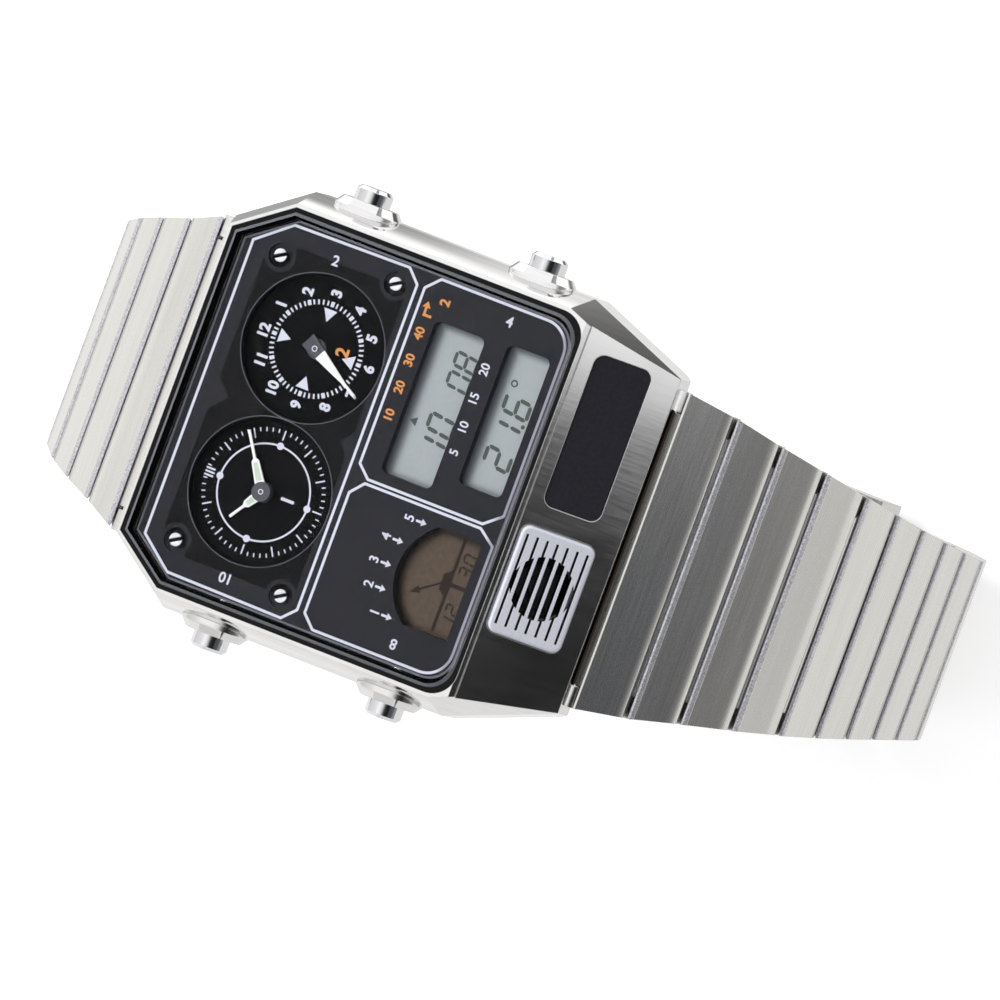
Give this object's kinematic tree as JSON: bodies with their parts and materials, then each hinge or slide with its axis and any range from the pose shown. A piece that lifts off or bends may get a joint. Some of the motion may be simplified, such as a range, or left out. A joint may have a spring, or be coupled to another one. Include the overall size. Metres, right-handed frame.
{
  "type": "wristwatch",
  "caption": "Rectangular ana-digi wristwatch with two small dials, display windows, pushers and a tapered link bracelet closed by a folding clasp.",
  "frame": {"origin": "centre of the case back's flat face", "axes": "+Z from the case back through the dial, +Y to 12 o'clock, +X to 3 o'clock"},
  "size_m": [0.0358, 0.0674, 0.0539],
  "materials": {
    "steel": "brushed stainless steel",
    "bracelet": "brushed stainless steel",
    "steel_screw": "polished steel",
    "pusher": "polished steel",
    "gasket": "black rubber",
    "crystal": "clear mineral glass",
    "dial_black": "black lacquer",
    "dial_face": "black dial with white printing",
    "hand": "white lacquer with pale green lume",
    "lcd": "grey-green liquid crystal display",
    "board": "green circuit board",
    "movement": "dark plastic",
    "battery": "plated steel cell",
    "grille": "polished steel"
  },
  "bodies": {
    "case": {"back_gasket": "gasket", "back_screws": "steel_screw", "badge_plate": "dial_black", "battery": "battery", "battery_clip": "steel_screw", "case_back": "steel", "case_middle": "steel", "circuit_board": "board", "crystal": "crystal", "crystal_gasket": "gasket", "dial_plate": "dial_black", "dial_screws": "steel_screw", "lcd_connectors": "gasket", "lcd_function": "lcd", "lcd_panel": "lcd", "module_frame": "movement", "second_dial": "dial_face", "second_movement": "movement", "sensor_grille": "grille", "spring_bars": "steel_screw", "switch_springs": "steel_screw", "temperature_sensor": "board", "time_dial": "dial_face", "time_movement": "movement"},
    "hour": {"hour_hand": "hand"},
    "minute": {"minute_hand": "hand"},
    "second_zone": {"second_zone_hand": "hand"},
    "pusher_2_oclock": {"pusher_2_oclock": "pusher"},
    "pusher_4_oclock": {"pusher_4_oclock": "pusher"},
    "pusher_10_oclock": {"pusher_10_oclock": "pusher"},
    "pusher_8_oclock": {"pusher_8_oclock": "pusher"},
    "foot_link_01": {"foot_link_01": "bracelet"},
    "foot_link_02": {"foot_link_02": "bracelet"},
    "foot_link_03": {"foot_link_03": "bracelet"},
    "foot_link_04": {"foot_link_04": "bracelet"},
    "foot_link_05": {"foot_link_05": "bracelet"},
    "foot_link_06": {"foot_link_06": "bracelet"},
    "foot_link_07": {"foot_link_07": "bracelet"},
    "foot_link_08": {"foot_link_08": "bracelet"},
    "foot_link_09": {"foot_link_09": "bracelet"},
    "foot_link_10": {"foot_link_10": "bracelet"},
    "foot_link_11": {"foot_link_11": "bracelet"},
    "foot_link_12": {"foot_link_12": "bracelet"},
    "foot_link_13": {"foot_link_13": "bracelet"},
    "top_link_01": {"top_link_01": "bracelet"},
    "top_link_02": {"top_link_02": "bracelet"},
    "top_link_03": {"top_link_03": "bracelet"},
    "top_link_04": {"top_link_04": "bracelet"},
    "top_link_05": {"top_link_05": "bracelet"},
    "top_link_06": {"top_link_06": "bracelet"},
    "top_link_07": {"top_link_07": "bracelet"},
    "top_link_08": {"top_link_08": "bracelet"},
    "top_link_09": {"top_link_09": "bracelet"},
    "top_link_10": {"top_link_10": "bracelet"},
    "top_link_11": {"top_link_11": "bracelet"},
    "top_link_12": {"top_link_12": "bracelet"},
    "top_link_13": {"top_link_13": "bracelet"},
    "clasp_short_blade": {"clasp_short_blade": "bracelet"},
    "clasp_long_blade": {"clasp_long_blade": "bracelet"},
    "clasp_cover": {"clasp_cover": "bracelet"}
  },
  "joints": [
    {"name": "press_2_oclock", "type": "slide", "parent": "case", "child": "pusher_2_oclock", "axis": [-1, 0, 0], "range_m": [0, 0.0008], "stiffness_N_per_m": 400, "springref_m": -0.002},
    {"name": "press_4_oclock", "type": "slide", "parent": "case", "child": "pusher_4_oclock", "axis": [-1, 0, 0], "range_m": [0, 0.0008], "stiffness_N_per_m": 400, "springref_m": -0.002},
    {"name": "press_10_oclock", "type": "slide", "parent": "case", "child": "pusher_10_oclock", "axis": [1, 0, 0], "range_m": [0, 0.0008], "stiffness_N_per_m": 400, "springref_m": -0.002},
    {"name": "press_8_oclock", "type": "slide", "parent": "case", "child": "pusher_8_oclock", "axis": [1, 0, 0], "range_m": [0, 0.0008], "stiffness_N_per_m": 400, "springref_m": -0.002},
    {"name": "minute_turn", "type": "hinge", "parent": "case", "child": "minute", "pos_m": [-0.00556, 0.00795, 0.0068], "axis": [0, 0, -1], "continuous": true},
    {"name": "hour_turn", "type": "hinge", "parent": "case", "child": "hour", "pos_m": [-0.00556, 0.00795, 0.0065], "axis": [0, 0, -1], "continuous": true},
    {"name": "second_zone_turn", "type": "hinge", "parent": "case", "child": "second_zone", "pos_m": [0.00556, 0.00795, 0.0065], "axis": [0, 0, -1], "continuous": true},
    {"name": "foot_bracelet_bend", "type": "hinge", "parent": "case", "child": "foot_link_01", "pos_m": [0, -0.0185, 0.0032], "axis": [-1, 0, 0], "range_deg": [0, 36]},
    {"name": "foot_bend_02", "type": "hinge", "parent": "foot_link_01", "child": "foot_link_02", "pos_m": [0, -0.02182, 0.00079], "axis": [-1, 0, 0], "range_deg": [0, 7]},
    {"name": "foot_bend_03", "type": "hinge", "parent": "foot_link_02", "child": "foot_link_03", "pos_m": [0, -0.02482, -0.00201], "axis": [-1, 0, 0], "range_deg": [0, 4]},
    {"name": "foot_bend_04", "type": "hinge", "parent": "foot_link_03", "child": "foot_link_04", "pos_m": [0, -0.02761, -0.005], "axis": [-1, 0, 0], "range_deg": [0, 9]},
    {"name": "foot_bend_05", "type": "hinge", "parent": "foot_link_04", "child": "foot_link_05", "pos_m": [0, -0.0299, -0.0084], "axis": [-1, 0, 0], "range_deg": [0, 14]},
    {"name": "foot_bend_06", "type": "hinge", "parent": "foot_link_05", "child": "foot_link_06", "pos_m": [0, -0.03131, -0.01226], "axis": [-1, 0, 0], "range_deg": [0, 7]},
    {"name": "foot_bend_07", "type": "hinge", "parent": "foot_link_06", "child": "foot_link_07", "pos_m": [0, -0.03223, -0.01625], "axis": [-1, 0, 0], "range_deg": [0, 4]},
    {"name": "foot_bend_08", "type": "hinge", "parent": "foot_link_07", "child": "foot_link_08", "pos_m": [0, -0.03287, -0.0203], "axis": [-1, 0, 0], "range_deg": [0, 4]},
    {"name": "foot_bend_09", "type": "hinge", "parent": "foot_link_08", "child": "foot_link_09", "pos_m": [0, -0.03323, -0.02439], "axis": [-1, 0, 0], "range_deg": [0, 2]},
    {"name": "foot_bend_10", "type": "hinge", "parent": "foot_link_09", "child": "foot_link_10", "pos_m": [0, -0.03344, -0.02848], "axis": [-1, 0, 0], "range_deg": [0, 17]},
    {"name": "foot_bend_11", "type": "hinge", "parent": "foot_link_10", "child": "foot_link_11", "pos_m": [0, -0.03245, -0.03246], "axis": [-1, 0, 0], "range_deg": [0, 17]},
    {"name": "foot_bend_12", "type": "hinge", "parent": "foot_link_11", "child": "foot_link_12", "pos_m": [0, -0.03034, -0.03597], "axis": [-1, 0, 0], "range_deg": [0, 17]},
    {"name": "foot_bend_13", "type": "hinge", "parent": "foot_link_12", "child": "foot_link_13", "pos_m": [0, -0.02729, -0.03872], "axis": [-1, 0, 0], "range_deg": [0, 15]},
    {"name": "clasp_bend", "type": "hinge", "parent": "foot_link_13", "child": "clasp_short_blade", "pos_m": [0, -0.02364, -0.04058], "axis": [-1, 0, 0], "range_deg": [0, 13]},
    {"name": "top_bracelet_bend", "type": "hinge", "parent": "case", "child": "top_link_01", "pos_m": [0, 0.01847, 0.0032], "axis": [1, 0, 0], "range_deg": [0, 39]},
    {"name": "top_bend_02", "type": "hinge", "parent": "top_link_01", "child": "top_link_02", "pos_m": [0, 0.02166, 0.00062], "axis": [1, 0, 0], "range_deg": [0, 4.5]},
    {"name": "top_bend_03", "type": "hinge", "parent": "top_link_02", "child": "top_link_03", "pos_m": [0, 0.02463, -0.0022], "axis": [1, 0, 0], "range_deg": [0, 6.5]},
    {"name": "top_bend_04", "type": "hinge", "parent": "top_link_03", "child": "top_link_04", "pos_m": [0, 0.02727, -0.00534], "axis": [1, 0, 0], "range_deg": [0, 11]},
    {"name": "top_bend_05", "type": "hinge", "parent": "top_link_04", "child": "top_link_05", "pos_m": [0, 0.02925, -0.00893], "axis": [1, 0, 0], "range_deg": [0, 9]},
    {"name": "top_bend_06", "type": "hinge", "parent": "top_link_05", "child": "top_link_06", "pos_m": [0, 0.03066, -0.01278], "axis": [1, 0, 0], "range_deg": [0, 7]},
    {"name": "top_bend_07", "type": "hinge", "parent": "top_link_06", "child": "top_link_07", "pos_m": [0, 0.03158, -0.01678], "axis": [1, 0, 0], "range_deg": [0, 7]},
    {"name": "top_bend_08", "type": "hinge", "parent": "top_link_07", "child": "top_link_08", "pos_m": [0, 0.03201, -0.02085], "axis": [1, 0, 0], "range_deg": [0, 5]},
    {"name": "top_bend_09", "type": "hinge", "parent": "top_link_08", "child": "top_link_09", "pos_m": [0, 0.03208, -0.02495], "axis": [1, 0, 0], "range_deg": [0, 14]},
    {"name": "top_bend_10", "type": "hinge", "parent": "top_link_09", "child": "top_link_10", "pos_m": [0, 0.03116, -0.02895], "axis": [1, 0, 0], "range_deg": [0, 15]},
    {"name": "top_bend_11", "type": "hinge", "parent": "top_link_10", "child": "top_link_11", "pos_m": [0, 0.02923, -0.03257], "axis": [1, 0, 0], "range_deg": [0, 15]},
    {"name": "top_bend_12", "type": "hinge", "parent": "top_link_11", "child": "top_link_12", "pos_m": [0, 0.02644, -0.03557], "axis": [1, 0, 0], "range_deg": [0, 14]},
    {"name": "top_bend_13", "type": "hinge", "parent": "top_link_12", "child": "top_link_13", "pos_m": [0, 0.023, -0.0378], "axis": [1, 0, 0], "range_deg": [0, 11]},
    {"name": "clasp_fold", "type": "hinge", "parent": "clasp_short_blade", "child": "clasp_long_blade", "pos_m": [0, 0.01533, -0.04009], "axis": [1, 0, 0], "range_deg": [0, 145]},
    {"name": "cover_fold", "type": "hinge", "parent": "clasp_long_blade", "child": "clasp_cover", "pos_m": [0, -0.02104, -0.04229], "axis": [1, 0, 0], "range_deg": [-145, 0]}
  ],
  "couplings": [
    {"joint": "hour_turn", "follows": "minute_turn", "ratio": 0.083333},
    {"joint": "cover_fold", "follows": "clasp_fold", "ratio": -1}
  ]
}
